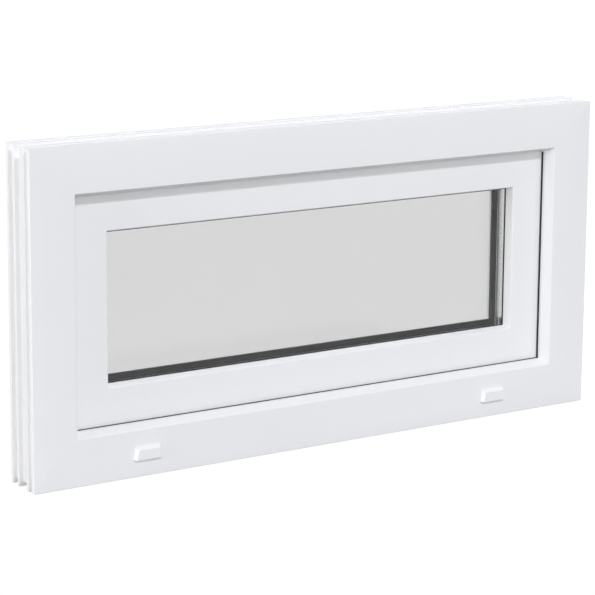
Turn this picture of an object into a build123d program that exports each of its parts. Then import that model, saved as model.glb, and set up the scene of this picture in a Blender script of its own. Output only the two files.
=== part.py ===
from build123d import *
import os

# Basement window in white PVC, shut, with one bottom-hung sash and a double-glazed unit.
# X runs along the width, Y from the outside face into the room, and Z is up. The origin is at mid-width on
# the underside of the sill, on the foot that lies behind its front lip.
# A section's first coordinate is the inset from the frame's outer edge, its second the depth behind the
# frame's outside face.

# Outer frame
frame_width = 800.0
frame_height = 400.0
frame_depth = 60.0
frame_face = 56.5
frame_edge_radius = 1.0
lip_slope_run = 6.0
lip_slope_depth = 12.0
lip_back = 16.0
rebate_height = 20.0
rebate_slope_run = 6.0
trough_drop = 3.0
trough_front = 22.0
trough_back = 27.0
trough_step = 2.0

# Walls of the hollow profiles
wall = 2.8
web = 1.6

# Clip grooves along the frame's outer edge, given by their depths, with feet between them
groove_floor = 5.5
front_groove_floor = 4.0
front_groove = (6.0, 13.0)
middle_groove = (19.0, 38.5)
rear_groove = (43.0, 54.5)

# Sash
sash_setback = 20.0
sash_depth = 58.0
sash_cover = 8.0
sash_overlap = 20.0
overlap_thickness = 14.0
overlap_radius = 3.0
sash_edge_radius = 1.5
hardware_groove_width = 12.0
hardware_groove_depth = 8.0
hardware_groove_offset = 12.0

# Glazing
daylight_inset = 109.5
glazing_slope_run = 2.9
glazing_slope_depth = 11.2
glazing_lip = 12.0
glazing_rebate = 20.0
glass_cover = 14.0
pane_thickness = 4.0
pane_gap = 16.0
spacer_height = 7.0
spacer_shoulder = 1.2
spacer_seam_width = 2.4
spacer_seam_depth = 0.8
seal_height = 4.0
block_length = 80.0

# Glazing bead
bead_rise = 3.2
bead_flat = 4.5
bead_toe = 3.5
bead_wall = 1.6
bead_front_radius = 0.8
bead_back_radius = 2.5
bead_toe_radius = 2.0
bead_hook_offset = 5.0
bead_hook_width = 4.0
bead_hook_depth = 3.0

# Gaskets
outer_gasket = 2.0
inner_gasket = 3.5
gasket_width = 8.0
gasket_proud = 0.4
outer_gasket_proud = 1.0
gasket_foot_width = 3.0
gasket_foot_depth = 2.7
gasket_foot_inset = 5.0
slot_clearance = 0.2
lip_radius = 1.4
outer_bead_radius = 0.8
inner_bead_radius = 1.2

# Drain slots and their caps
drain_inset = 148.0
drain_slot_length = 28.0
drain_slot_width = 5.0
cap_width = 38.5
cap_top_width = 33.0
cap_height = 16.0
cap_rise = 1.2
cap_projection = 5.0
cap_top_slope = 4.0
cap_side_slope = 2.5
cap_wall = 1.4

# Handle
rose_length = 66.0
rose_height = 30.0
rose_thickness = 10.0
rose_corner_radius = 14.5
rose_bevel = 2.5
collar_radius = 11.0
collar_height = 3.0
handle_reach = 46.0
handle_bend = 17.0
grip_length = 125.0
grip_height = 20.0
grip_thickness = 13.0
grip_corner = 5.5
grip_end_bevel = 2.5

# Bottom hinges
hinge_inset = 130.0
barrel_radius = 6.0
side_barrel = 16.0
middle_barrel = 24.0
barrel_gap = 0.3
barrel_clearance = 0.5
pin_radius = 2.5
pin_clearance = 0.1
pin_head_radius = 3.6
pin_head_length = 1.5
hinge_plate = 3.0
hinge_plate_radius = 4.0
frame_plate_height = 24.0
sash_plate_height = 22.0
tongue_height = 8.0

frame_inner = frame_face + lip_slope_run
frame_rebate = frame_inner - rebate_height
sash_outer = frame_inner - sash_cover
overlap_outer = sash_outer - sash_overlap
sash_back = sash_setback + sash_depth
overlap_front = sash_back - overlap_thickness
glazing_floor = daylight_inset - glazing_rebate
glass_edge = daylight_inset - glass_cover
glazing_lip_back = sash_setback + glazing_lip
glass_front = glazing_lip_back + outer_gasket
unit_thickness = 2 * pane_thickness + pane_gap
glass_back = glass_front + unit_thickness
bead_front = glass_back + inner_gasket
bead_top = daylight_inset + bead_rise
hook_from = bead_front + bead_hook_offset
hook_to = hook_from + bead_hook_width
outside_face = -(front_groove[1] + middle_groove[0]) / 2
room_face = outside_face + sash_back
drain_x = frame_width / 2 - drain_inset


def outline(*corners):
    """A closed face through corners given as (inset, depth) or (inset, depth, radius)."""
    points = [corner[:2] for corner in corners]
    radii = [corner[2] if len(corner) > 2 else 0 for corner in corners]
    with BuildSketch(Plane.XY) as face:
        with BuildLine():
            if any(radii):
                FilletPolyline(*points, radius=radii, close=True)
            else:
                Polyline(*points, close=True)
        make_face()
    return face.sketch


def box_outline(inset_from, depth_from, inset_to, depth_to):
    corners = [(inset_from, depth_from), (inset_to, depth_from), (inset_to, depth_to), (inset_from, depth_to)]
    return outline(*corners)


def gasket_foot(inset, depth, direction, clearance=0.0):
    """The slot for a gasket's foot, or with a clearance the foot itself."""
    half = gasket_foot_width / 2 - clearance
    end = depth + direction * (gasket_foot_depth - clearance)
    return box_outline(inset - half, depth, inset + half, end)


def member(section, length):
    """A profile along X with its outer edge at Z 0, mitred at both ends."""
    section_plane = Plane(origin=(length / 2, outside_face, 0), x_dir=(0, 0, 1), z_dir=(-1, 0, 0))
    bar = extrude(section_plane * section, length)
    half = length / 2
    reach = bead_top + 2 * gasket_proud
    with BuildSketch(Plane.XZ) as mitre:
        with BuildLine():
            Polyline((-half, 0), (half, 0), (half - reach, reach), (-half + reach, reach), close=True)
        make_face()
    return bar & extrude(mitre.sketch, 2 * frame_depth, both=True)


def sides():
    """The length and the place of the member on each side."""
    half_height = frame_height / 2
    return {
        "bottom": (frame_width, Pos(0, 0, 0)),
        "top": (frame_width, Pos(0, 0, frame_height) * Rot(0, 180, 0)),
        "left": (frame_height, Pos(-frame_width / 2, 0, half_height) * Rot(0, 90, 0)),
        "right": (frame_height, Pos(frame_width / 2, 0, half_height) * Rot(0, -90, 0)),
    }


def mitred(section, **names):
    """Four members of one section, each a node of its own."""
    return {names[side]: place * member(section, length) for side, (length, place) in sides().items()}


def ring(section):
    """Four members of one section, joined into one loop."""
    bars = [place * member(section, length) for length, place in sides().values()]
    return bars[0] + bars[1] + bars[2] + bars[3]


def frame_section():
    edge = outline(
        (0, 0, frame_edge_radius),
        (frame_face, 0, frame_edge_radius),
        (frame_inner, lip_slope_depth, frame_edge_radius),
        (frame_inner, lip_back),
        (frame_rebate + rebate_slope_run, lip_back),
        (frame_rebate - trough_drop, trough_front),
        (frame_rebate - trough_drop, trough_back),
        (frame_rebate, trough_back + trough_step),
        (frame_rebate, frame_depth),
        (0, frame_depth),
        (0, rear_groove[1]),
        (groove_floor, rear_groove[1]),
        (groove_floor, rear_groove[0]),
        (0, rear_groove[0]),
        (0, middle_groove[1]),
        (groove_floor, middle_groove[1]),
        (groove_floor, middle_groove[0]),
        (0, middle_groove[0]),
        (0, front_groove[1]),
        (front_groove_floor, front_groove[1]),
        (front_groove_floor, front_groove[0]),
        (0, front_groove[0]),
    )
    outer_wall = groove_floor + wall
    rebate_wall = frame_rebate - wall
    front_chamber_back = lip_back - wall
    drain_chamber_back = trough_back - web
    chambers = [
        box_outline(front_groove_floor + wall, wall, frame_rebate + rebate_slope_run, front_chamber_back),
        box_outline(outer_wall, front_chamber_back + web, rebate_wall - trough_drop, drain_chamber_back),
        box_outline(outer_wall, drain_chamber_back + trough_step + web, rebate_wall, rear_groove[0]),
        box_outline(outer_wall, rear_groove[0] + web, rebate_wall, frame_depth - wall),
    ]
    return edge - chambers - gasket_foot(frame_inner - gasket_foot_inset, lip_back, -1)


def sash_section():
    groove_from = overlap_front - hardware_groove_offset - hardware_groove_width / 2
    groove_to = groove_from + hardware_groove_width
    groove_inner = sash_outer + hardware_groove_depth
    hook_floor = glazing_floor - bead_hook_depth
    edge = outline(
        (sash_outer, sash_setback, sash_edge_radius),
        (daylight_inset - glazing_slope_run, sash_setback, sash_edge_radius),
        (daylight_inset, sash_setback + glazing_slope_depth),
        (daylight_inset, glazing_lip_back),
        (glazing_floor, glazing_lip_back),
        (glazing_floor, hook_from),
        (hook_floor, hook_from),
        (hook_floor, hook_to),
        (glazing_floor, hook_to),
        (glazing_floor, sash_back),
        (overlap_outer, sash_back, overlap_radius),
        (overlap_outer, overlap_front, frame_edge_radius),
        (sash_outer, overlap_front),
        (sash_outer, groove_to),
        (groove_inner, groove_to),
        (groove_inner, groove_from),
        (sash_outer, groove_from),
    )
    outer_wall = sash_outer + wall
    middle_wall = groove_inner + wall
    inner_wall = hook_floor - wall
    front = sash_setback + wall
    room_wall = sash_back - wall
    overlap_chamber = overlap_outer + gasket_foot_inset + gasket_foot_width + wall
    chambers = [
        box_outline(outer_wall, front, inner_wall, glazing_lip_back),
        box_outline(glazing_floor + wall, front, daylight_inset - 2 * wall, glazing_lip_back - wall),
        box_outline(outer_wall, glazing_lip_back + web, groove_inner, groove_from - wall),
        box_outline(middle_wall, glazing_lip_back + web, inner_wall, overlap_front - web),
        box_outline(middle_wall, overlap_front, inner_wall, room_wall),
        box_outline(overlap_chamber, overlap_front + gasket_foot_depth + web, groove_inner, room_wall),
    ]
    feet = [
        gasket_foot(overlap_outer + gasket_foot_inset, overlap_front, 1),
        gasket_foot(daylight_inset - gasket_foot_inset, glazing_lip_back, -1),
    ]
    return edge - chambers - feet


def bead_section():
    hook_floor = glazing_floor - bead_hook_depth + slot_clearance
    edge = outline(
        (glazing_floor, bead_front),
        (bead_top, bead_front, bead_front_radius),
        (bead_top, bead_front + bead_flat, bead_back_radius),
        (glazing_floor + bead_toe, sash_back, bead_toe_radius),
        (glazing_floor + slot_clearance, sash_back),
        (glazing_floor, hook_to - slot_clearance),
        (hook_floor, hook_to - slot_clearance),
        (hook_floor, hook_from + slot_clearance),
        (glazing_floor, hook_from + slot_clearance),
    )
    hollow = outline(
        (glazing_floor + bead_wall, bead_front + bead_wall + gasket_foot_depth),
        (bead_top - 2 * bead_wall, bead_front + bead_wall + gasket_foot_depth),
        (glazing_floor + bead_wall, sash_back - 2 * bead_wall),
    )
    return edge - hollow - gasket_foot(bead_top - gasket_foot_inset, bead_front, 1)


def gasket(tip, towards, depth_from, depth_to, radius, foot_depth, foot_direction, proud=gasket_proud):
    """A gasket loop: a pad rounded along the edge that shows, and a foot in its slot."""
    pad = outline(
        (tip - towards * gasket_width, depth_from),
        (tip + towards * proud, depth_from, radius),
        (tip + towards * proud, depth_to, radius),
        (tip - towards * gasket_width, depth_to),
    )
    foot_inset = tip - towards * gasket_foot_inset
    return ring(pad + gasket_foot(foot_inset, foot_depth, foot_direction, slot_clearance))


def gaskets():
    return {
        "frame_gasket": gasket(frame_inner, 1, lip_back, sash_setback, lip_radius, lip_back, -1),
        "sash_gasket": gasket(overlap_outer, -1, frame_depth, overlap_front, lip_radius, overlap_front, 1),
        "glazing_gasket_outer": gasket(
            daylight_inset, 1, glazing_lip_back, glass_front, outer_bead_radius, glazing_lip_back, -1,
            outer_gasket_proud,
        ),
        "glazing_gasket_inner": gasket(bead_top, 1, glass_back, bead_front, inner_bead_radius, bead_front, 1),
    }


def plate(inset, depth, thickness):
    """A sheet across the window with its edges at the given inset."""
    size = (frame_width - 2 * inset, thickness, frame_height - 2 * inset)
    return Pos(0, outside_face + depth + thickness / 2, frame_height / 2) * Box(*size)


def spacer_section(depth):
    """The bar between the panes, with shoulders at the glass and a seam along its middle."""
    foot = glass_edge + seal_height
    top = foot + spacer_height
    end = depth + pane_gap
    seam_from = depth + (pane_gap - spacer_seam_width) / 2
    seam_to = seam_from + spacer_seam_width
    return outline(
        (foot, depth + spacer_shoulder),
        (foot + spacer_shoulder, depth),
        (top - spacer_shoulder, depth),
        (top, depth + spacer_shoulder),
        (top, seam_from),
        (top - spacer_seam_depth, seam_from + spacer_seam_depth / 2),
        (top - spacer_seam_depth, seam_to - spacer_seam_depth / 2),
        (top, seam_to),
        (top, end - spacer_shoulder),
        (top - spacer_shoulder, end),
        (foot + spacer_shoulder, end),
        (foot, end - spacer_shoulder),
    )


def glass_unit():
    cavity = glass_front + pane_thickness
    seal_end = glass_edge + seal_height
    return {
        "outer_pane": plate(glass_edge, glass_front, pane_thickness),
        "inner_pane": plate(glass_edge, cavity + pane_gap, pane_thickness),
        "edge_seal": ring(box_outline(glass_edge, cavity, seal_end, cavity + pane_gap)),
        "spacer_bar": ring(spacer_section(cavity)),
    }


def glazing_block(x):
    """The block that the glass unit stands on."""
    thickness = glass_edge - glazing_floor
    depth = (glass_front + glass_back) / 2
    size = (block_length, unit_thickness, thickness)
    return Pos(x, outside_face + depth, glazing_floor + thickness / 2) * Box(*size)


def drain_slots(sill):
    """The sill with its drain slots: through the trough, and out through the face behind each cap."""
    face_plane = Plane(origin=(0, outside_face, frame_face / 2), x_dir=(1, 0, 0), z_dir=(0, 1, 0))
    trough_plane = Plane.XY.offset(frame_rebate - trough_drop)
    trough_y = outside_face + (trough_front + trough_back) / 2
    for x in (-drain_x, drain_x):
        slot = SlotOverall(drain_slot_length, drain_slot_width)
        sill -= extrude(face_plane * Pos(x, 0) * slot, 2 * wall)
        inner_x = x - drain_slot_length if x > 0 else x + drain_slot_length
        sill -= extrude(trough_plane * Pos(inner_x, trough_y) * slot, -2 * wall)
    return sill


def cap_form(shrink, projection):
    """The cap's outer form or its hollow: wider below, sloped at the top and the sides, flush at its foot."""
    low = -cap_height / 2 - shrink
    top = cap_height / 2 - shrink
    low_half = cap_width / 2 - shrink
    top_half = cap_top_width / 2 - shrink
    face_low = low_half - cap_side_slope
    face_half = top_half - cap_side_slope
    face_top = top - cap_top_slope
    back = Polyline((-low_half, low), (low_half, low), (top_half, top), (-top_half, top), close=True)
    front = Polyline(
        (-face_low, low), (face_low, low), (face_half, face_top), (-face_half, face_top), close=True
    )
    outwards = Plane(origin=(0, outside_face, frame_face / 2 + cap_rise), x_dir=(1, 0, 0), z_dir=(0, -1, 0))
    faces = [outwards * make_face(back), outwards.offset(projection) * make_face(front)]
    return loft(Sketch() + faces, ruled=True)


def drain_cap(x):
    """A hood over a drain slot, open below."""
    return Pos(x, 0, 0) * (cap_form(0, cap_projection) - cap_form(cap_wall, cap_projection - cap_wall))


def handle():
    """The rose and the lever, which points along the rail when the window is shut."""
    height = frame_height - (overlap_outer + glazing_floor) / 2
    rail = Plane(origin=(0, room_face, height), x_dir=(1, 0, 0), z_dir=(0, 1, 0))
    rose = extrude(rail * RectangleRounded(rose_length, rose_height, rose_corner_radius), rose_thickness)
    rose = chamfer(rose.faces().sort_by(Axis.Y)[-1].edges(), rose_bevel)

    middle = handle_reach - grip_thickness / 2
    collar_top = rose_thickness + collar_height
    collar = extrude(rail.offset(rose_thickness) * Circle(collar_radius), collar_height)
    corners = [
        (0, room_face + rose_thickness, height),
        (0, room_face + middle, height),
        (grip_length, room_face + middle, height),
    ]
    path = FilletPolyline(*corners, radius=handle_bend)
    across = Plane(origin=corners[0], x_dir=(0, 0, 1), z_dir=(0, 1, 0))
    lever = sweep(across * RectangleRounded(grip_height, grip_thickness, grip_corner), path=path)
    lever = chamfer(lever.faces().sort_by(Axis.X)[-1].edges(), grip_end_bevel)
    return {"handle_rose": rose, "handle_lever": lever + collar}


def along_x(radius, length, x, y, z):
    return Pos(x, y, z) * Rot(0, 90, 0) * Cylinder(radius, length)


def hinge(x):
    """A bottom hinge: a plate on the frame, a plate on the sash, and the pin through their barrels."""
    axis_z = overlap_outer - barrel_radius - barrel_clearance
    axis_y = outside_face + overlap_front + barrel_radius
    frame_y = outside_face + frame_depth
    total = middle_barrel + 2 * side_barrel + 2 * barrel_gap
    bore = along_x(pin_radius + pin_clearance, 2 * total, x, axis_y, axis_z)
    frame_wall = Plane(origin=(x, frame_y, axis_z), x_dir=(1, 0, 0), z_dir=(0, 1, 0))
    sash_wall = Plane(origin=(x, room_face, 0), x_dir=(1, 0, 0), z_dir=(0, 1, 0))

    low_end = axis_z + tongue_height / 2 - frame_plate_height / 2
    base = extrude(Plane(origin=(x, frame_y, low_end), x_dir=(1, 0, 0), z_dir=(0, 1, 0))
                   * RectangleRounded(total, frame_plate_height, hinge_plate_radius), hinge_plate)
    arm = extrude(frame_wall * Rectangle(middle_barrel, tongue_height), axis_y - frame_y)
    frame_part = base + arm + along_x(barrel_radius, middle_barrel, x, axis_y, axis_z) - bore

    leaf_low = axis_z - tongue_height / 2
    leaf_height = overlap_outer + sash_plate_height - leaf_low
    leaf_plane = sash_wall.shift_origin((x, room_face, leaf_low + leaf_height / 2))
    sash_part = extrude(leaf_plane * RectangleRounded(total, leaf_height, hinge_plate_radius), hinge_plate)
    for sign in (-1, 1):
        barrel_x = x + sign * (middle_barrel / 2 + barrel_gap + side_barrel / 2)
        tongue_plane = Plane(origin=(barrel_x, axis_y, axis_z), x_dir=(1, 0, 0), z_dir=(0, 1, 0))
        sash_part += along_x(barrel_radius, side_barrel, barrel_x, axis_y, axis_z)
        sash_part += extrude(tongue_plane * Rectangle(side_barrel, tongue_height), room_face - axis_y)
    pin = along_x(pin_radius, total, x, axis_y, axis_z)
    head_offset = (total + pin_head_length) / 2
    for head_x in (x - head_offset, x + head_offset):
        pin += along_x(pin_head_radius, pin_head_length, head_x, axis_y, axis_z)
    return {"frame_part": frame_part, "sash_part": sash_part - bore, "pin": pin}


def build():
    frame = frame_section()
    sash = sash_section()
    bead = bead_section()
    nodes = mitred(
        frame, bottom="frame_sill", top="frame_head", left="frame_jamb_left", right="frame_jamb_right"
    )
    nodes["frame_sill"] = drain_slots(nodes["frame_sill"])
    nodes |= mitred(
        sash, bottom="sash_bottom_rail", top="sash_top_rail", left="sash_stile_left", right="sash_stile_right"
    )
    nodes |= mitred(bead, bottom="bead_bottom", top="bead_top", left="bead_left", right="bead_right")
    nodes |= gaskets() | glass_unit() | handle()
    block_x = (frame_width / 2 - glass_edge) / 2
    for side, sign in (("left", -1), ("right", 1)):
        nodes["drain_cap_" + side] = drain_cap(sign * drain_x)
        nodes["glazing_block_" + side] = glazing_block(sign * block_x)
        for piece, solid in hinge(sign * (frame_width / 2 - hinge_inset)).items():
            nodes[f"hinge_{piece}_{side}"] = solid
    return nodes


os.makedirs("parts", exist_ok=True)
for name, solid in build().items():
    export_step(solid, f"parts/{name}.step")
    print(name)
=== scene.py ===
import math

import bmesh
import bpy
from mathutils import Matrix, Vector


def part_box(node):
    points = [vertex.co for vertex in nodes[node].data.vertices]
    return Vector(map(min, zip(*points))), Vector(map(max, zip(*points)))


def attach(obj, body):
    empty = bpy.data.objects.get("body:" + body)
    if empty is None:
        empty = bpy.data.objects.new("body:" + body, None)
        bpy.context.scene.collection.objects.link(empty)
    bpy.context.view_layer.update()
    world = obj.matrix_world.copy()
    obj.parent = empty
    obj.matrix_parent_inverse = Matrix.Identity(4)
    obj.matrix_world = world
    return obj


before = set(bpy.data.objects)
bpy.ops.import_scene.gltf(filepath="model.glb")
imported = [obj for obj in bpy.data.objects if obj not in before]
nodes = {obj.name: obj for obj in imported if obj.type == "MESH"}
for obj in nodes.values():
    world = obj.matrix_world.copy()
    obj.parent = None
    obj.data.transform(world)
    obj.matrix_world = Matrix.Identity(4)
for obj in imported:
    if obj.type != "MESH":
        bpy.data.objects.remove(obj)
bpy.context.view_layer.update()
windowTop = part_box("frame_head")[1].z
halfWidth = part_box("frame_sill")[1].x
print("frame loaded,", len(nodes), "nodes")


def addNode(tree, kind, inputs=None, **settings):
    node = tree.nodes.new(kind)
    for name, value in settings.items():
        setattr(node, name, value)
    for socket, value in (inputs or {}).items():
        if isinstance(value, bpy.types.NodeSocket):
            tree.links.new(value, node.inputs[socket])
        else:
            node.inputs[socket].default_value = value
    return node


def useGroup(tree, group, inputs):
    return addNode(tree, "ShaderNodeGroup", inputs, node_tree=group).outputs


def maths(tree, operation, first, second=0.0):
    return addNode(tree, "ShaderNodeMath", {0: first, 1: second}, operation=operation).outputs[0]


def remap(tree, value, fromRange, toRange):
    sockets = {"Value": value}
    sockets["From Min"], sockets["From Max"] = fromRange
    sockets["To Min"], sockets["To Max"] = toRange
    return addNode(tree, "ShaderNodeMapRange", sockets).outputs["Result"]


def noise(tree, place, scale, detail=2.0):
    sockets = {"Vector": place, "Scale": scale, "Detail": detail}
    return addNode(tree, "ShaderNodeTexNoise", sockets).outputs["Fac"]


# ranges for remap
maskRange = (0.0, 1.0)
noiseRange = (0.3, 0.7)  # where most of a noise lies
wideRange = (0.1, 0.9)  # a noise never reaches its ends, which would show as rings on smooth paint


def spread(middle, reach):
    return (middle - reach, middle + reach)


def newGroup(name, inputs, outputs):
    tree = bpy.data.node_groups.new(name, "ShaderNodeTree")
    for socket, kind, value in inputs:
        made = tree.interface.new_socket(name=socket, in_out="INPUT", socket_type=kind)
        if value is not None:
            made.default_value = value
    for socket, kind in outputs:
        tree.interface.new_socket(name=socket, in_out="OUTPUT", socket_type=kind)
    return tree, tree.nodes.new("NodeGroupInput").outputs, tree.nodes.new("NodeGroupOutput").inputs


def newMaterial(name, sockets=None):
    material = bpy.data.materials.new(name)
    material.use_nodes = True
    tree = material.node_tree
    tree.nodes.clear()
    shader = addNode(tree, "ShaderNodeBsdfPrincipled", sockets)
    addNode(tree, "ShaderNodeOutputMaterial", {"Surface": shader.outputs["BSDF"]})
    place = tree.nodes.new("ShaderNodeTexCoord").outputs["Object"]
    return material, tree, shader.inputs, place


def tinted(tree, colour, tone):  # the colour times a tone near 1
    mixed = addNode(tree, "ShaderNodeMix", {"Factor": 1.0}, data_type="RGBA", blend_type="MULTIPLY")
    mixed.inputs[6].default_value = colour  # 6, 7 and 2 are this node's colour sockets
    tree.links.new(tone, mixed.inputs[7])
    return mixed.outputs[2]


def bumped(tree, height, distance=1.0):  # the height times the distance is in metres
    return addNode(tree, "ShaderNodeBump", {"Height": height, "Distance": distance}).outputs["Normal"]


# Effects that several materials share

# lines that the die leaves along an extruded piece, and the fine skin of the plastic
extrusion = {
    "lineScale": 520.0,
    "lineDetail": 3.0,
    "lineTone": (-0.006, 0.006),
    "lineShare": 0.8,
    "grainScale": 1400.0,
    "grainShare": 0.2,
    "cloudScale": 7.0,
    "cloudTone": (0.988, 1.0),
}
extrudedSkin, skinIn, skinOut = newGroup(
    "extruded skin",
    [("Place", "NodeSocketVector", None), ("Stretch", "NodeSocketVector", (1.0, 1.0, 1.0))],
    [("Tone", "NodeSocketFloat"), ("Height", "NodeSocketFloat"), ("Gloss", "NodeSocketFloat")],
)
stretched = addNode(
    extrudedSkin,
    "ShaderNodeVectorMath",
    {0: skinIn["Place"], 1: skinIn["Stretch"]},
    operation="MULTIPLY",
).outputs[0]
dieLines = noise(extrudedSkin, stretched, extrusion["lineScale"], extrusion["lineDetail"])
skinCloud = noise(extrudedSkin, skinIn["Place"], extrusion["cloudScale"])
skinGrain = noise(extrudedSkin, skinIn["Place"], extrusion["grainScale"])
cloudTone = remap(extrudedSkin, skinCloud, noiseRange, extrusion["cloudTone"])
lineTone = remap(extrudedSkin, dieLines, noiseRange, extrusion["lineTone"])
lineHeight = maths(extrudedSkin, "MULTIPLY", dieLines, extrusion["lineShare"])
grainHeight = maths(extrudedSkin, "MULTIPLY", skinGrain, extrusion["grainShare"])
extrudedSkin.links.new(maths(extrudedSkin, "ADD", cloudTone, lineTone), skinOut["Tone"])
extrudedSkin.links.new(maths(extrudedSkin, "ADD", lineHeight, grainHeight), skinOut["Height"])
extrudedSkin.links.new(remap(extrudedSkin, skinCloud, noiseRange, maskRange), skinOut["Gloss"])

# the welded and cleaned mitres: 1 on the seam, and 1 on the strip that was milled flat
weldFade = (0.4, 0.6)  # of the width of the seam or the strip
mitreWeld, weldIn, weldOut = newGroup(
    "mitre weld",
    [
        ("Place", "NodeSocketVector", None),
        ("Half Width", "NodeSocketFloat", halfWidth),
        ("Height", "NodeSocketFloat", windowTop),
        ("Seam Width", "NodeSocketFloat", None),
        ("Strip Width", "NodeSocketFloat", None),
    ],
    [("Seam", "NodeSocketFloat"), ("Strip", "NodeSocketFloat")],
)
weldAxes = addNode(mitreWeld, "ShaderNodeSeparateXYZ", {0: weldIn["Place"]}).outputs
fromMiddleX = maths(mitreWeld, "ABSOLUTE", weldAxes["X"])
insetX = maths(mitreWeld, "SUBTRACT", weldIn["Half Width"], fromMiddleX)
halfHeight = maths(mitreWeld, "DIVIDE", weldIn["Height"], 2.0)
fromMiddleZ = maths(mitreWeld, "ABSOLUTE", maths(mitreWeld, "SUBTRACT", weldAxes["Z"], halfHeight))
insetZ = maths(mitreWeld, "SUBTRACT", halfHeight, fromMiddleZ)
insetGap = maths(mitreWeld, "ABSOLUTE", maths(mitreWeld, "SUBTRACT", insetX, insetZ))
fromSeam = maths(mitreWeld, "DIVIDE", insetGap, math.sqrt(2))
for width, mask in (("Seam Width", "Seam"), ("Strip Width", "Strip")):
    share = maths(mitreWeld, "DIVIDE", fromSeam, weldIn[width])
    mitreWeld.links.new(remap(mitreWeld, share, weldFade, maskRange[::-1]), weldOut[mask])

# the skin of powder paint or of a mould
paintCloud = {"scale": 30.0, "tone": (0.985, 1.0)}
paintSkin, paintIn, paintOut = newGroup(
    "paint skin",
    [("Place", "NodeSocketVector", None), ("Grain", "NodeSocketFloat", None)],
    [("Tone", "NodeSocketFloat"), ("Height", "NodeSocketFloat"), ("Gloss", "NodeSocketFloat")],
)
paintBroad = noise(paintSkin, paintIn["Place"], paintCloud["scale"])
paintGrain = noise(paintSkin, paintIn["Place"], paintIn["Grain"])
paintSkin.links.new(remap(paintSkin, paintBroad, wideRange, paintCloud["tone"]), paintOut["Tone"])
paintSkin.links.new(paintGrain, paintOut["Height"])
paintSkin.links.new(remap(paintSkin, paintBroad, wideRange, maskRange), paintOut["Gloss"])

# Materials

whitePlastic = {
    "colour": (0.785, 0.788, 0.795, 1.0),
    "ior": 1.46,
    "roughness": (0.42, 0.34),  # where the skin is dull, and where it is glossy
    "lineStretch": 0.004,
    "lineDepth": 0.000006,  # m
    "seamDepth": 0.00004,
    "seamWidth": 0.0009,
    "seamTone": 0.978,
    "stripWidth": 0.005,
    "stripRoughness": 0.08,
}


def makePlastic(name, lengthways):  # lengthways is the axis that the piece was extruded along
    material, tree, shader, place = newMaterial(name, {"IOR": whitePlastic["ior"]})
    stretch = [1.0, 1.0, 1.0]
    stretch["XYZ".index(lengthways)] = whitePlastic["lineStretch"]
    skin = useGroup(tree, extrudedSkin, {"Place": place, "Stretch": stretch})
    weldInputs = {"Place": place}
    weldInputs["Seam Width"] = whitePlastic["seamWidth"]
    weldInputs["Strip Width"] = whitePlastic["stripWidth"]
    weld = useGroup(tree, mitreWeld, weldInputs)
    seamTone = remap(tree, weld["Seam"], maskRange, (1.0, whitePlastic["seamTone"]))
    tone = maths(tree, "MULTIPLY", skin["Tone"], seamTone)
    tree.links.new(tinted(tree, whitePlastic["colour"], tone), shader["Base Color"])
    roughness = remap(tree, skin["Gloss"], maskRange, whitePlastic["roughness"])
    milled = maths(tree, "MULTIPLY", weld["Strip"], whitePlastic["stripRoughness"])
    tree.links.new(maths(tree, "ADD", roughness, milled), shader["Roughness"])
    lines = maths(tree, "MULTIPLY", skin["Height"], whitePlastic["lineDepth"])
    groove = maths(tree, "MULTIPLY", weld["Seam"], whitePlastic["seamDepth"])
    tree.links.new(bumped(tree, maths(tree, "SUBTRACT", lines, groove)), shader["Normal"])
    return material


paints = {
    "moulded white cap": {
        "colour": (0.785, 0.788, 0.79, 1.0),
        "roughness": 0.42,
        "coat": 0.0,
        "grain": 1800.0,
        "grainDepth": 0.00001,  # m
    },
    "white handle paint": {
        "colour": (0.80, 0.805, 0.825, 1.0),
        "roughness": 0.30,
        "coat": 0.15,
        "grain": 1200.0,
        "grainDepth": 0.00001,
    },
    "white hinge paint": {
        "colour": (0.79, 0.795, 0.81, 1.0),
        "roughness": 0.36,
        "coat": 0.0,
        "grain": 1200.0,
        "grainDepth": 0.000015,
    },
}
paintGloss = {"roughnessReach": 0.04, "coatRoughness": 0.1}


def makePainted(name):
    paint = paints[name]
    coat = {"Coat Weight": paint["coat"], "Coat Roughness": paintGloss["coatRoughness"]}
    material, tree, shader, place = newMaterial(name, coat)
    skin = useGroup(tree, paintSkin, {"Place": place, "Grain": paint["grain"]})
    tree.links.new(tinted(tree, paint["colour"], skin["Tone"]), shader["Base Color"])
    dullToGlossy = spread(paint["roughness"], paintGloss["roughnessReach"])[::-1]
    tree.links.new(remap(tree, skin["Gloss"], maskRange, dullToGlossy), shader["Roughness"])
    tree.links.new(bumped(tree, skin["Height"], paint["grainDepth"]), shader["Normal"])
    return material


rubber = {
    "colour": (0.010, 0.010, 0.011, 1.0),
    "ior": 1.4,
    "roughness": (0.62, 0.48),
    "bloomScale": 60.0,
    "bloomDetail": 4.0,
    "bloomRange": (0.4, 0.8),
    "bloomTone": (0.9, 1.2),
    "lineDepth": 0.00006,  # m
}


def makeRubber(name):
    material, tree, shader, place = newMaterial(name, {"IOR": rubber["ior"]})
    skin = useGroup(tree, extrudedSkin, {"Place": place})
    bloom = noise(tree, place, rubber["bloomScale"], rubber["bloomDetail"])
    tone = remap(tree, bloom, rubber["bloomRange"], rubber["bloomTone"])
    tree.links.new(tinted(tree, rubber["colour"], tone), shader["Base Color"])
    tree.links.new(remap(tree, skin["Gloss"], maskRange, rubber["roughness"]), shader["Roughness"])
    tree.links.new(bumped(tree, skin["Height"], rubber["lineDepth"]), shader["Normal"])
    return material


clearGlass = {
    "colour": (0.801, 0.801, 0.80, 1.0),
    "roughness": 0.0,
    "ior": 1.32,
    "waveScale": 9.0,
    "waveDetail": 1.0,
    "waveTone": (0.995, 1.0),
    "waveDepth": 0.000004,  # m
}


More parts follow.
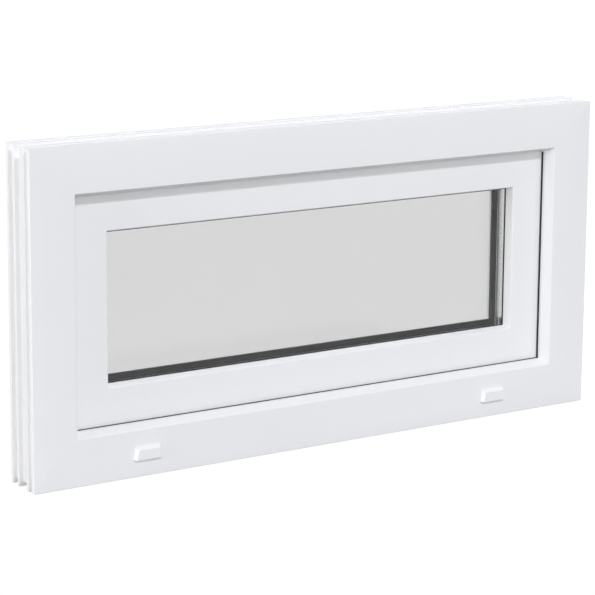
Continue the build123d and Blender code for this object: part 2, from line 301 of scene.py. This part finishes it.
def makeGlass(name):
    sockets = {"IOR": clearGlass["ior"], "Roughness": clearGlass["roughness"]}
    sockets["Transmission Weight"] = 1.0
    material, tree, shader, place = newMaterial(name, sockets)
    wave = noise(tree, place, clearGlass["waveScale"], clearGlass["waveDetail"])
    tint = tinted(tree, clearGlass["colour"], remap(tree, wave, noiseRange, clearGlass["waveTone"]))
    tree.links.new(tint, shader["Base Color"])
    tree.links.new(bumped(tree, wave, clearGlass["waveDepth"]), shader["Normal"])
    # the lamps light what stands behind the glass
    surface = tree.nodes["Material Output"].inputs["Surface"]
    solid = surface.links[0].from_socket
    passing = addNode(tree, "ShaderNodeBsdfTransparent", {"Color": tint}).outputs[0]
    isShadow = tree.nodes.new("ShaderNodeLightPath").outputs["Is Shadow Ray"]
    mixed = addNode(tree, "ShaderNodeMixShader", {0: isShadow, 1: solid, 2: passing}).outputs[0]
    tree.links.new(mixed, surface)
    return material


spacerMetal = {
    "colour": (0.95, 0.95, 0.95, 1.0),
    "roughness": 0.26,
    "roughnessReach": 0.06,
    "brushScale": 2600.0,
    "brushTone": (0.95, 1.0),
    "brushDepth": 0.000002,  # m
    "cloudScale": 40.0,
    "cloudDetail": 3.0,
    "cloudTone": (0.97, 1.0),
}


def makeSpacerMetal(name):
    material, tree, shader, place = newMaterial(name, {"Metallic": 1.0})
    axes = addNode(tree, "ShaderNodeSeparateXYZ", {0: place}).outputs
    across = addNode(tree, "ShaderNodeCombineXYZ", {"X": axes["Y"]}).outputs[0]
    rolled = noise(tree, across, spacerMetal["brushScale"])
    cloud = noise(tree, place, spacerMetal["cloudScale"], spacerMetal["cloudDetail"])
    brushTone = remap(tree, rolled, noiseRange, spacerMetal["brushTone"])
    cloudTone = remap(tree, cloud, noiseRange, spacerMetal["cloudTone"])
    tone = maths(tree, "MULTIPLY", brushTone, cloudTone)
    tree.links.new(tinted(tree, spacerMetal["colour"], tone), shader["Base Color"])
    roughness = spread(spacerMetal["roughness"], spacerMetal["roughnessReach"])
    tree.links.new(remap(tree, rolled, noiseRange, roughness), shader["Roughness"])
    tree.links.new(bumped(tree, rolled, spacerMetal["brushDepth"]), shader["Normal"])
    return material


steels = {
    "hinge pin steel": {"colour": (0.62, 0.62, 0.60, 1.0), "roughness": 0.30, "ringScale": 3000.0},
    "screw steel": {"colour": (0.66, 0.67, 0.68, 1.0), "roughness": 0.32, "ringScale": 2000.0},
}
zincPlating = {
    "spangleScale": 350.0,
    "spangleDetail": 3.0,
    "spangleTone": (0.86, 1.0),
    "roughnessReach": 0.07,
    "ringStretch": (1.0, 0.02, 0.02),
    "ringDetail": 1.0,
    "ringDepth": 0.00003,  # m
}


def makeSteel(name):  # turned or rolled
    steel = steels[name]
    material, tree, shader, place = newMaterial(name, {"Metallic": 1.0})
    spangle = noise(tree, place, zincPlating["spangleScale"], zincPlating["spangleDetail"])
    mapping = {"Vector": place, "Scale": zincPlating["ringStretch"]}
    ringPlace = addNode(tree, "ShaderNodeMapping", mapping).outputs["Vector"]
    rings = noise(tree, ringPlace, steel["ringScale"], zincPlating["ringDetail"])
    tone = remap(tree, spangle, noiseRange, zincPlating["spangleTone"])
    tree.links.new(tinted(tree, steel["colour"], tone), shader["Base Color"])
    roughness = spread(steel["roughness"], zincPlating["roughnessReach"])
    tree.links.new(remap(tree, spangle, noiseRange, roughness), shader["Roughness"])
    tree.links.new(bumped(tree, rings, zincPlating["ringDepth"]), shader["Normal"])
    return material


matts = {
    "grey washer plastic": {
        "colour": (0.22, 0.22, 0.225, 1.0),
        "roughness": 0.5,
        "lumpScale": 900.0,
        "lumpDepth": 0.00005,  # m
    },
    # black sealant; the slit strips on the spacer use it too, and there its black is painted shade
    "edge sealant and slit shade": {
        "colour": (0.014, 0.014, 0.015, 1.0),
        "roughness": 0.7,
        "lumpScale": 160.0,
        "lumpDepth": 0.0004,
    },
    "glazing block plastic": {
        "colour": (0.06, 0.16, 0.36, 1.0),
        "roughness": 0.5,
        "lumpScale": 500.0,
        "lumpDepth": 0.0001,
    },
}
mattSkin = {"detail": 3.0, "tone": (0.85, 1.0), "roughnessReach": 0.06}


def makeMatt(name):  # sealant or a moulded piece
    matt = matts[name]
    material, tree, shader, place = newMaterial(name)
    lumps = noise(tree, place, matt["lumpScale"], mattSkin["detail"])
    tone = remap(tree, lumps, noiseRange, mattSkin["tone"])
    tree.links.new(tinted(tree, matt["colour"], tone), shader["Base Color"])
    roughness = spread(matt["roughness"], mattSkin["roughnessReach"])
    tree.links.new(remap(tree, lumps, noiseRange, roughness), shader["Roughness"])
    tree.links.new(bumped(tree, lumps, matt["lumpDepth"]), shader["Normal"])
    return material


plasticAlongX = makePlastic("white plastic along the width", "X")
plasticAlongZ = makePlastic("white plastic along the height", "Z")
capPlastic = makePainted("moulded white cap")
handlePaint = makePainted("white handle paint")
hingePaint = makePainted("white hinge paint")
gasketRubber = makeRubber("black gasket rubber")
outerGlass = makeGlass("outer pane glass")
innerGlass = makeGlass("inner pane glass")
spacerAluminium = makeSpacerMetal("spacer aluminium")
greyPlastic = makeMatt("grey washer plastic")
sealantAndSlitShade = makeMatt("edge sealant and slit shade")
blockPlastic = makeMatt("glazing block plastic")
pinSteel = makeSteel("hinge pin steel")
screwSteel = makeSteel("screw steel")
print("materials made")

# CAD nodes: their finish, and soft edges where the shape isn't already round

softEdges = {
    "profile": 0.0003,  # m
    "cap": 0.0009,
    "handle": 0.0008,
    "hinge": 0.0004,
    "segments": 2,
    "sharpAngle": math.radians(34),
    "smoothAngle": math.radians(24),
    "flatAngle": math.radians(0.2),
    "mergeDistance": 1e-6,
    "weldBand": 0.0001,  # edges this near a mitre are welded flush
}

edgeShading = bpy.data.node_groups.new("edge shading", "GeometryNodeTree")
edgeSockets = edgeShading.interface
edgeSockets.new_socket(name="Geometry", in_out="INPUT", socket_type="NodeSocketGeometry")
bandSocket = edgeSockets.new_socket(name="Weld Band", in_out="INPUT", socket_type="NodeSocketFloat")
edgeSockets.new_socket(name="Geometry", in_out="OUTPUT", socket_type="NodeSocketGeometry")
shadingIn = edgeShading.nodes.new("NodeGroupInput").outputs
cleared = addNode(
    edgeShading,
    "GeometryNodeRemoveAttribute",
    {"Geometry": shadingIn["Geometry"], "Name": "custom_normal"},
).outputs[0]
edgeAngle = edgeShading.nodes.new("GeometryNodeInputMeshEdgeAngle").outputs["Unsigned Angle"]
isSmooth = maths(edgeShading, "LESS_THAN", edgeAngle, softEdges["smoothAngle"])
shaded = cleared
for domain, smooth in (("FACE", True), ("EDGE", isSmooth)):
    shaded = addNode(
        edgeShading,
        "GeometryNodeSetShadeSmooth",
        {"Geometry": shaded, "Shade Smooth": smooth},
        domain=domain,
    ).outputs[0]
edgePlace = edgeShading.nodes.new("GeometryNodeInputPosition").outputs[0]
edgeAxes = addNode(edgeShading, "ShaderNodeSeparateXYZ", {0: edgePlace}).outputs
fromCentre = maths(edgeShading, "ABSOLUTE", edgeAxes["X"])
fromJamb = maths(edgeShading, "SUBTRACT", halfWidth, fromCentre)
aboveCentre = maths(edgeShading, "SUBTRACT", edgeAxes["Z"], windowTop / 2)
fromRail = maths(edgeShading, "SUBTRACT", windowTop / 2, maths(edgeShading, "ABSOLUTE", aboveCentre))
fromMitre = maths(edgeShading, "ABSOLUTE", maths(edgeShading, "SUBTRACT", fromJamb, fromRail))
isFree = maths(edgeShading, "GREATER_THAN", fromMitre, shadingIn["Weld Band"])
isSharp = maths(edgeShading, "GREATER_THAN", edgeAngle, softEdges["sharpAngle"])
bevelWeight = maths(edgeShading, "MULTIPLY", isFree, isSharp)
weighted = addNode(
    edgeShading,
    "GeometryNodeStoreNamedAttribute",
    {"Geometry": shaded, "Name": "bevel_weight_edge", "Value": bevelWeight},
    data_type="FLOAT",
    domain="EDGE",
).outputs[0]
edgeShading.links.new(weighted, edgeShading.nodes.new("NodeGroupOutput").inputs[0])


def finishNode(name, material, bevelWidth=0.0, weldBand=0.0):
    node = nodes[name]
    node.data.materials.clear()
    node.data.materials.append(material)
    weld = node.modifiers.new("weld", "WELD")
    weld.merge_threshold = softEdges["mergeDistance"]
    if bevelWidth:
        flat = node.modifiers.new("flat faces", "DECIMATE")
        flat.decimate_type = "DISSOLVE"
        flat.angle_limit = softEdges["flatAngle"]
    shading = node.modifiers.new("shading", "NODES")
    shading.node_group = edgeShading
    shading[bandSocket.identifier] = weldBand
    if bevelWidth:
        bevel = node.modifiers.new("soft edges", "BEVEL")
        bevel.width = bevelWidth
        bevel.segments = softEdges["segments"]
        bevel.limit_method = "WEIGHT"
        bevel.harden_normals = True


for name in ("frame_sill", "frame_head", "sash_bottom_rail", "sash_top_rail"):
    finishNode(name, plasticAlongX, softEdges["profile"], softEdges["weldBand"])
for name in ("frame_jamb_left", "frame_jamb_right", "sash_stile_left", "sash_stile_right"):
    finishNode(name, plasticAlongZ, softEdges["profile"], softEdges["weldBand"])
for name in ("bead_bottom", "bead_top"):
    finishNode(name, plasticAlongX, softEdges["profile"])
for name in ("bead_left", "bead_right"):
    finishNode(name, plasticAlongZ, softEdges["profile"])
for name in ("frame_gasket", "sash_gasket", "glazing_gasket_outer", "glazing_gasket_inner"):
    finishNode(name, gasketRubber)
finishNode("outer_pane", outerGlass)
finishNode("inner_pane", innerGlass)
finishNode("edge_seal", sealantAndSlitShade)
finishNode("spacer_bar", spacerAluminium)
finishNode("handle_rose", handlePaint, softEdges["handle"])
finishNode("handle_lever", handlePaint)  # its edges are round in the CAD
for side in ("left", "right"):
    finishNode("drain_cap_" + side, capPlastic, softEdges["cap"])
    finishNode("glazing_block_" + side, blockPlastic, softEdges["hinge"])
    finishNode("hinge_frame_part_" + side, hingePaint, softEdges["hinge"])
    finishNode("hinge_sash_part_" + side, hingePaint, softEdges["hinge"])
    finishNode("hinge_pin_" + side, pinSteel, softEdges["hinge"])
print("nodes finished")

# Small pieces that the CAD leaves out

quarterTurn = math.radians(90)


def addPiece(name, form, material):
    mesh = bpy.data.meshes.new(name)
    bmesh.ops.recalc_face_normals(form, faces=form.faces)
    form.to_mesh(mesh)
    form.free()
    mesh.materials.append(material)
    piece = bpy.data.objects.new(name, mesh)
    bpy.context.scene.collection.objects.link(piece)
    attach(piece, "root")
    return piece


def vertsOf(geometry):
    return [item for item in geometry if isinstance(item, bmesh.types.BMVert)]


def linked(verts, kind):  # the edges or faces round the verts, each once
    return list(dict.fromkeys(item for vert in verts for item in getattr(vert, kind)))


screw = {
    "radius": 0.0032,  # m
    "height": 0.0006,
    "sides": 28,
    "shoulder": 0.75,  # of the height
    "crown": 0.86,  # of the radius
    "slot": 0.0011,
    "slotReach": 0.0034,
    "slotDepth": 0.0005,
    "levelWithin": 1e-7,
}


def addScrew(form, place, turn):  # a raised head with a cross recess, facing the room
    rim = bmesh.ops.create_circle(form, segments=screw["sides"], radius=screw["radius"])["verts"]
    rimEdges = linked(rim, "link_edges")
    halfReach = screw["slotReach"] / 2
    cross = bmesh.ops.create_grid(form, x_segments=3, y_segments=3, size=halfReach)["verts"]
    half = screw["slot"] / 2
    for vert in cross:
        for axis in (0, 1):
            if abs(vert.co[axis]) < screw["slotReach"] / 3:
                vert.co[axis] = math.copysign(half, vert.co[axis])
    corners = []
    for face in linked(cross, "link_faces"):
        middle = face.calc_center_median()
        if min(abs(middle.x), abs(middle.y)) > half:
            corners.append(face)
    bmesh.ops.delete(form, geom=corners, context="FACES")
    cross = [vert for vert in cross if vert.is_valid]
    for vert in cross:
        vert.co.z = screw["height"]
    crossFaces = linked(cross, "link_faces")
    sunk = vertsOf(bmesh.ops.extrude_face_region(form, geom=crossFaces)["geom"])
    bmesh.ops.delete(form, geom=crossFaces, context="FACES_ONLY")
    bmesh.ops.translate(form, verts=sunk, vec=(0, 0, -screw["slotDepth"]))
    shoulder = bmesh.ops.extrude_edge_only(form, edges=rimEdges)["geom"]
    top = vertsOf(shoulder)
    bmesh.ops.translate(form, verts=top, vec=(0, 0, screw["height"] * screw["shoulder"]))
    bmesh.ops.scale(form, verts=top, vec=(screw["crown"], screw["crown"], 1))
    topEdges = [item for item in shoulder if isinstance(item, bmesh.types.BMEdge)]
    crossEdges = []
    for edge in linked(cross, "link_edges"):
        offLevel = max(abs(vert.co.z - screw["height"]) for vert in edge.verts)
        if edge.is_boundary and offLevel < screw["levelWithin"]:
            crossEdges.append(edge)
    bmesh.ops.bridge_loops(form, edges=topEdges + crossEdges)
    toRoom = Matrix.Rotation(-quarterTurn, 4, "X") @ Matrix.Rotation(turn, 4, "Z")
    matrix = Matrix.Translation(place) @ toRoom
    bmesh.ops.transform(form, matrix=matrix, verts=rim + top + cross + sunk)


hingeScrews = {
    "fromEnd": 0.009,  # m
    "fromTop": 0.0075,
    "fromFoot": 0.0062,
    "plateThickness": 0.003,
    "turns": (0.3, 1.1, 0.7, 0.1),  # radians
}
for side in ("left", "right"):
    form = bmesh.new()
    sashLow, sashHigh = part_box("hinge_sash_part_" + side)
    frameLow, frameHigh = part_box("hinge_frame_part_" + side)
    plateY = frameLow.y + hingeScrews["plateThickness"]
    sashZ = sashHigh.z - hingeScrews["fromTop"]
    frameZ = frameLow.z + hingeScrews["fromFoot"]
    turns = iter(hingeScrews["turns"])
    for x in (sashLow.x + hingeScrews["fromEnd"], sashHigh.x - hingeScrews["fromEnd"]):
        addScrew(form, (x, sashHigh.y, sashZ), next(turns))
        addScrew(form, (x, plateY, frameZ), next(turns))
    addPiece("hinge_screws_" + side, form, screwSteel)

# the washer that the lever turns on, between its collar and the rose
washer = {"radius": 0.0113, "height": 0.0006, "sides": 64}
roseLow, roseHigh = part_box("handle_rose")
form = bmesh.new()
bmesh.ops.create_cone(
    form,
    cap_ends=True,
    segments=washer["sides"],
    radius1=washer["radius"],
    radius2=washer["radius"],
    depth=washer["height"],
)
faceRoom = Matrix.Rotation(quarterTurn, 3, "X")
washerPlace = (0, roseHigh.y + washer["height"] / 2, (roseLow.z + roseHigh.z) / 2)
bmesh.ops.rotate(form, verts=form.verts, cent=(0, 0, 0), matrix=faceRoom)
bmesh.ops.translate(form, verts=form.verts, vec=washerPlace)
addPiece("lever_washer", form, greyPlastic)

# the breathing slits in the seam of the spacer, which let the drying agent reach the cavity; they are
# drawn as thin black strips barely proud of the spacer, and their black is painted shade of the
# openings
slits = {
    "pitch": 0.008,  # m
    "length": 0.0026,
    "width": 0.0004,
    "proud": 0.00003,
    "fromCorner": 0.012,
    "barHeight": 0.007,
    "seamDepth": 0.0008,
}
spacerLow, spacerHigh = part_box("spacer_bar")


def addSlits(form, along, start, end, across):
    count = int((end - start) / slits["pitch"])
    first = (start + end - (count - 1) * slits["pitch"]) / 2
    for index in range(count):
        place = Vector((across, (spacerLow.y + spacerHigh.y) / 2, across))
        place["XYZ".index(along)] = first + index * slits["pitch"]
        size = Vector((slits["proud"] * 2, slits["width"], slits["proud"] * 2))
        size["XYZ".index(along)] = slits["length"]
        made = bmesh.ops.create_cube(form, size=1.0)["verts"]
        bmesh.ops.scale(form, verts=made, vec=size)
        bmesh.ops.translate(form, verts=made, vec=place)


form = bmesh.new()
innerTop = spacerHigh.z - slits["barHeight"] + slits["seamDepth"]
innerBottom = spacerLow.z + slits["barHeight"] - slits["seamDepth"]
innerRight = spacerHigh.x - slits["barHeight"] + slits["seamDepth"]
reachX = innerRight - slits["fromCorner"]
for level in (innerTop, innerBottom):
    addSlits(form, "X", -reachX, reachX, level)
for level in (-innerRight, innerRight):
    addSlits(form, "Z", innerBottom + slits["fromCorner"], innerTop - slits["fromCorner"], level)
# the black of these strips is painted shade inside the slits
addPiece("spacer_slit_shade", form, sealantAndSlitShade)
print("small pieces added")

# Stage, light and camera


def directRays(tree):  # 1 for a camera ray and for what metal and glass show
    rays = tree.nodes.new("ShaderNodeLightPath").outputs
    seen = maths(tree, "MAXIMUM", rays["Is Camera Ray"], rays["Is Glossy Ray"])
    return maths(tree, "MAXIMUM", seen, rays["Is Transmission Ray"])


floorStage = {
    "size": 40.0,  # m
    "diffuseColour": 0.34,
    "seenColour": 0.24,
    "seenGlow": 0.82,
    "roughness": 0.9,
    "cloudScale": 3.0,
    "cloudDetail": 4.0,
    "cloudTone": (0.99, 1.0),
}


def makeFloor():
    form = bmesh.new()
    bmesh.ops.create_grid(form, x_segments=2, y_segments=2, size=floorStage["size"] / 2)
    mesh = bpy.data.meshes.new("floor")
    form.to_mesh(mesh)
    form.free()
    floor = bpy.data.objects.new("floor", mesh)
    bpy.context.scene.collection.objects.link(floor)
    sockets = {"Roughness": floorStage["roughness"], "Specular IOR Level": 0.0}
    sockets["Emission Color"] = (1.0, 1.0, 1.0, 1.0)
    material, tree, shader, place = newMaterial("pale floor", sockets)
    seen = directRays(tree)
    greys = (floorStage["diffuseColour"], floorStage["seenColour"])
    cloud = noise(tree, place, floorStage["cloudScale"], floorStage["cloudDetail"])
    cloudTone = remap(tree, cloud, noiseRange, floorStage["cloudTone"])
    grey = maths(tree, "MULTIPLY", remap(tree, seen, maskRange, greys), cloudTone)
    tree.links.new(grey, shader["Base Color"])
    glow = maths(tree, "MULTIPLY", seen, floorStage["seenGlow"])
    tree.links.new(glow, shader["Emission Strength"])
    mesh.materials.append(material)


makeFloor()

studio = {"backdrop": (1.0, 1.0, 1.0, 1.0), "lightStrength": 0.3, "seenStrength": 1.0}
world = bpy.data.worlds.new("white studio")
world.use_nodes = True
worldTree = world.node_tree
worldTree.nodes.clear()
strengths = (studio["lightStrength"], studio["seenStrength"])
worldLevel = remap(worldTree, directRays(worldTree), maskRange, strengths)
worldSockets = {"Color": studio["backdrop"], "Strength": worldLevel}
background = addNode(worldTree, "ShaderNodeBackground", worldSockets)
addNode(worldTree, "ShaderNodeOutputWorld", {"Surface": background.outputs[0]})
bpy.context.scene.world = world

# heading is in degrees from the front towards the left, and softness is the lamp's angle
lamps = {
    "key light": {
        "strength": 1.45,
        "colour": (0.86, 0.883, 0.957),
        "heading": 0.0,
        "elevation": 40.0,
        "softness": 5.0,
    },
    "front left fill": {
        "strength": 1.18,
        "heading": 15.0,
        "elevation": 20.0,
        "softness": 20.0,
        "shadow": False,  # the photograph's light is flat
    },
    "left fill": {"strength": 2.75, "heading": 90.0, "elevation": 4.0, "softness": 30.0},
    "back right light": {"strength": 2.2, "heading": -115.0, "elevation": 10.0, "softness": 8.0},
    "back fill": {"strength": 1.1, "heading": 165.0, "elevation": 10.0, "softness": 30.0},
}
for name, values in lamps.items():
    lampData = bpy.data.lights.new(name, "SUN")
    lampData.energy = values["strength"]
    lampData.color = values.get("colour", (1.0, 1.0, 1.0))
    lampData.angle = math.radians(values["softness"])
    lampData.use_shadow = values.get("shadow", True)
    lamp = bpy.data.objects.new(name, lampData)
    tilt = math.radians(90 - values["elevation"])
    lamp.rotation_euler = (tilt, 0, math.radians(-values["heading"]))
    bpy.context.scene.collection.objects.link(lamp)

photoCamera = {
    "sensor": 36.0,  # mm
    "lens": 135.49,
    "place": (-1.4538, -2.2486, 0.7877),
    "heading": 32.214,  # degrees from +Y towards +X
    "pitch": -10.826,
    "roll": 0.405,
    "shift": -75 / 595,  # the photograph is nearly a two-point perspective
}
cameraData = bpy.data.cameras.new("photo camera")
cameraData.lens = photoCamera["lens"]
cameraData.sensor_width = photoCamera["sensor"]
cameraData.shift_y = photoCamera["shift"]
camera = bpy.data.objects.new("photo camera", cameraData)
bpy.context.scene.collection.objects.link(camera)
camera.matrix_world = (
    Matrix.Translation(photoCamera["place"])
    @ Matrix.Rotation(math.radians(-photoCamera["heading"]), 4, "Z")
    @ Matrix.Rotation(math.radians(90 + photoCamera["pitch"]), 4, "X")
    @ Matrix.Rotation(math.radians(photoCamera["roll"]), 4, "Z")
)
bpy.context.scene.camera = camera
bpy.context.scene.view_settings.view_transform = "Standard"
print("stage, lights and camera set")
